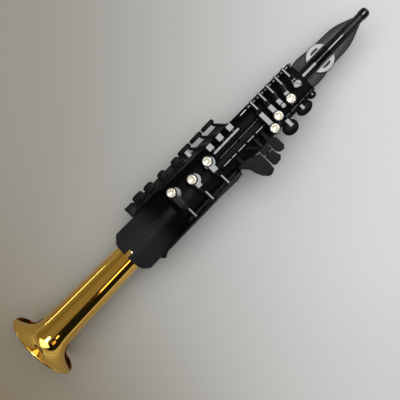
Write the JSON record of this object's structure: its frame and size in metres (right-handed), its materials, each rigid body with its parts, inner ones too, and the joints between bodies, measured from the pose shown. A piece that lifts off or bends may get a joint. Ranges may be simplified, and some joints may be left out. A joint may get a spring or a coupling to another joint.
{
  "type": "electronic soprano saxophone",
  "caption": "Electronic soprano saxophone: straight moulded body with saxophone keywork and pale touches, lacquered brass bell, leaf-shaped neck plate with its tube; lies on its back.",
  "frame": {"origin": "middle of the underside of the bounding box, on the surface that the instrument lies on", "axes": "+X along the tube's axis from the bell's rim to the mouthpiece end, +Y to the player's right-hand side, +Z out of the front, through the keys"},
  "size_m": [0.6324, 0.1132, 0.1032],
  "materials": {
    "brass": "clear gold lacquer over polished brass",
    "pale_brass": "satin pale brass",
    "body_black": "satin moulded black",
    "neck_charcoal": "satin charcoal",
    "key_black": "gloss black lacquer",
    "gloss_black": "polished black",
    "steel": "fine turned",
    "pearl": "polished pale pearl",
    "brace_silver": "satin",
    "rubber": "matte black",
    "board": "solder mask green",
    "cell_wrap": "plain grey wrap"
  },
  "bodies": {
    "body": {"back_cover": "body_black", "battery_cover": "body_black", "battery_holder": "cell_wrap", "bell": "brass", "bell_collar": "pale_brass", "breath_sensor": "rubber", "centre_rod": "steel", "circuit_board": "board", "front_cover": "body_black", "left_side_guard": "body_black", "left_stack_rod": "steel", "low_side_rod": "steel", "neck_plate": "neck_charcoal", "neck_saddle": "rubber", "neck_tube": "gloss_black", "octave_key_mount": "steel", "palm_key_rod": "steel", "right_side_guard": "body_black", "right_stack_rod": "steel", "ring_brace_left": "brace_silver", "ring_brace_right": "brace_silver", "side_key_rod": "steel", "speaker": "rubber", "strap_ring": "steel", "table_key_rod": "steel", "thumb_hook_base": "steel", "thumb_rest": "rubber"},
    "key_d": {"key_d": "key_black", "pearl_d": "pearl"},
    "key_e": {"key_e": "key_black", "pearl_e": "pearl"},
    "key_f": {"key_f": "key_black", "pearl_f": "pearl"},
    "key_g": {"key_g": "key_black", "pearl_g": "pearl"},
    "key_a": {"key_a": "key_black", "pearl_a": "pearl"},
    "key_b": {"key_b": "key_black", "pearl_b": "pearl"},
    "key_bis": {"key_bis": "key_black"},
    "key_front_f": {"key_front_f": "key_black"},
    "side_key_b_flat": {"side_key_b_flat": "key_black"},
    "side_key_c": {"side_key_c": "key_black"},
    "side_key_e": {"side_key_e": "key_black"},
    "low_c_key": {"low_c_key": "rubber"},
    "low_e_flat_key": {"low_e_flat_key": "rubber"},
    "alternate_f_sharp_key": {"alternate_f_sharp_key": "rubber"},
    "high_f_sharp_key": {"high_f_sharp_key": "rubber"},
    "g_sharp_key": {"g_sharp_key": "key_black"},
    "low_c_sharp_key": {"low_c_sharp_key": "key_black"},
    "low_b_key": {"low_b_key": "key_black"},
    "low_b_flat_key": {"low_b_flat_key": "key_black"},
    "palm_key_e_flat": {"palm_key_e_flat": "key_black"},
    "palm_key_d": {"palm_key_d": "key_black"},
    "palm_key_f": {"palm_key_f": "key_black"},
    "octave_key": {"octave_key": "key_black"},
    "thumb_hook": {"thumb_hook": "gloss_black"},
    "power_button": {"power_button": "rubber"},
    "volume_down_button": {"volume_down_button": "rubber"},
    "volume_up_button": {"volume_up_button": "rubber"}
  },
  "joints": [
    {"name": "key_d_hinge", "type": "hinge", "parent": "body", "child": "key_d", "pos_m": [-0.04477, -0.01999, 0.07164], "axis": [-1, 0, 0], "range_deg": [0, 4.5], "stiffness_Nm_per_rad": 0.25, "springref_deg": -6.88},
    {"name": "key_e_hinge", "type": "hinge", "parent": "body", "child": "key_e", "pos_m": [-0.01277, -0.01999, 0.07164], "axis": [-1, 0, 0], "range_deg": [0, 4.5], "stiffness_Nm_per_rad": 0.25, "springref_deg": -6.88},
    {"name": "key_f_hinge", "type": "hinge", "parent": "body", "child": "key_f", "pos_m": [0.01673, -0.01999, 0.07164], "axis": [-1, 0, 0], "range_deg": [0, 4.5], "stiffness_Nm_per_rad": 0.25, "springref_deg": -6.88},
    {"name": "key_g_hinge", "type": "hinge", "parent": "body", "child": "key_g", "pos_m": [0.11323, 0.02801, 0.07164], "axis": [1, 0, 0], "range_deg": [0, 4.5], "stiffness_Nm_per_rad": 0.25, "springref_deg": -6.88},
    {"name": "key_a_hinge", "type": "hinge", "parent": "body", "child": "key_a", "pos_m": [0.12863, 0.02801, 0.07164], "axis": [1, 0, 0], "range_deg": [0, 4.5], "stiffness_Nm_per_rad": 0.25, "springref_deg": -6.88},
    {"name": "key_b_hinge", "type": "hinge", "parent": "body", "child": "key_b", "pos_m": [0.15863, 0.02801, 0.07164], "axis": [1, 0, 0], "range_deg": [0, 4.5], "stiffness_Nm_per_rad": 0.25, "springref_deg": -6.88},
    {"name": "key_bis_hinge", "type": "hinge", "parent": "body", "child": "key_bis", "pos_m": [0.14323, 0.02801, 0.07164], "axis": [1, 0, 0], "range_deg": [0, 4.5], "stiffness_Nm_per_rad": 0.25, "springref_deg": -6.88},
    {"name": "key_front_f_hinge", "type": "hinge", "parent": "body", "child": "key_front_f", "pos_m": [0.17323, 0.02801, 0.07164], "axis": [1, 0, 0], "range_deg": [0, 5], "stiffness_Nm_per_rad": 0.25, "springref_deg": -6.88},
    {"name": "side_key_b_flat_hinge", "type": "hinge", "parent": "body", "child": "side_key_b_flat", "pos_m": [0.03343, 0.01761, 0.07364], "axis": [-1, 0, 0], "range_deg": [0, 5], "stiffness_Nm_per_rad": 0.25, "springref_deg": -6.88},
    {"name": "side_key_c_hinge", "type": "hinge", "parent": "body", "child": "side_key_c", "pos_m": [0.05173, 0.01761, 0.07364], "axis": [-1, 0, 0], "range_deg": [0, 5], "stiffness_Nm_per_rad": 0.25, "springref_deg": -6.88},
    {"name": "side_key_e_hinge", "type": "hinge", "parent": "body", "child": "side_key_e", "pos_m": [0.07043, 0.01761, 0.07364], "axis": [-1, 0, 0], "range_deg": [0, 5], "stiffness_Nm_per_rad": 0.25, "springref_deg": -6.88},
    {"name": "low_c_key_hinge", "type": "hinge", "parent": "body", "child": "low_c_key", "pos_m": [-0.07987, 0.03961, 0.06064], "axis": [-1, 0, 0], "range_deg": [0, 8], "stiffness_Nm_per_rad": 0.08, "springref_deg": -8.59},
    {"name": "low_e_flat_key_hinge", "type": "hinge", "parent": "body", "child": "low_e_flat_key", "pos_m": [-0.06087, 0.03961, 0.06064], "axis": [-1, 0, 0], "range_deg": [0, 8], "stiffness_Nm_per_rad": 0.08, "springref_deg": -8.59},
    {"name": "alternate_f_sharp_key_hinge", "type": "hinge", "parent": "body", "child": "alternate_f_sharp_key", "pos_m": [-0.03677, 0.03961, 0.06064], "axis": [-1, 0, 0], "range_deg": [0, 8], "stiffness_Nm_per_rad": 0.08, "springref_deg": -8.59},
    {"name": "high_f_sharp_key_hinge", "type": "hinge", "parent": "body", "child": "high_f_sharp_key", "pos_m": [-0.01157, 0.03961, 0.06064], "axis": [-1, 0, 0], "range_deg": [0, 8], "stiffness_Nm_per_rad": 0.08, "springref_deg": -8.59},
    {"name": "g_sharp_key_hinge", "type": "hinge", "parent": "body", "child": "g_sharp_key", "pos_m": [0.09523, -0.00329, 0.07364], "axis": [1, 0, 0], "range_deg": [0, 4], "stiffness_Nm_per_rad": 0.25, "springref_deg": -6.88},
    {"name": "low_c_sharp_key_hinge", "type": "hinge", "parent": "body", "child": "low_c_sharp_key", "pos_m": [0.08223, -0.00329, 0.07364], "axis": [1, 0, 0], "range_deg": [0, 4], "stiffness_Nm_per_rad": 0.25, "springref_deg": -6.88},
    {"name": "low_b_key_hinge", "type": "hinge", "parent": "body", "child": "low_b_key", "pos_m": [0.06573, -0.00329, 0.07364], "axis": [1, 0, 0], "range_deg": [0, 4], "stiffness_Nm_per_rad": 0.25, "springref_deg": -6.88},
    {"name": "low_b_flat_key_hinge", "type": "hinge", "parent": "body", "child": "low_b_flat_key", "pos_m": [0.04903, -0.00329, 0.07364], "axis": [1, 0, 0], "range_deg": [0, 4], "stiffness_Nm_per_rad": 0.25, "springref_deg": -6.88},
    {"name": "palm_key_e_flat_hinge", "type": "hinge", "parent": "body", "child": "palm_key_e_flat", "pos_m": [0.12773, -0.01649, 0.06714], "axis": [1, 0, 0], "range_deg": [0, 6], "stiffness_Nm_per_rad": 0.25, "springref_deg": -6.88},
    {"name": "palm_key_d_hinge", "type": "hinge", "parent": "body", "child": "palm_key_d", "pos_m": [0.15923, -0.01649, 0.06714], "axis": [1, 0, 0], "range_deg": [0, 6], "stiffness_Nm_per_rad": 0.25, "springref_deg": -6.88},
    {"name": "palm_key_f_hinge", "type": "hinge", "parent": "body", "child": "palm_key_f", "pos_m": [0.17863, -0.01649, 0.06714], "axis": [1, 0, 0], "range_deg": [0, 6], "stiffness_Nm_per_rad": 0.25, "springref_deg": -6.88},
    {"name": "octave_key_hinge", "type": "hinge", "parent": "body", "child": "octave_key", "pos_m": [0.15523, 0.00501, 0.01564], "axis": [0, 1, 0], "range_deg": [0, 5], "stiffness_Nm_per_rad": 0.2, "springref_deg": -6.88},
    {"name": "thumb_hook_slide", "type": "slide", "parent": "body", "child": "thumb_hook", "axis": [1, 0, 0], "range_m": [-0.004, 0.004]},
    {"name": "power_button_slide", "type": "slide", "parent": "body", "child": "power_button", "axis": [0, 0, 1], "range_m": [0, 0.0009], "stiffness_N_per_m": 300, "springref_m": -0.001},
    {"name": "volume_down_button_slide", "type": "slide", "parent": "body", "child": "volume_down_button", "axis": [0, 0, 1], "range_m": [0, 0.0009], "stiffness_N_per_m": 300, "springref_m": -0.001},
    {"name": "volume_up_button_slide", "type": "slide", "parent": "body", "child": "volume_up_button", "axis": [0, 0, 1], "range_m": [0, 0.0009], "stiffness_N_per_m": 300, "springref_m": -0.001}
  ]
}
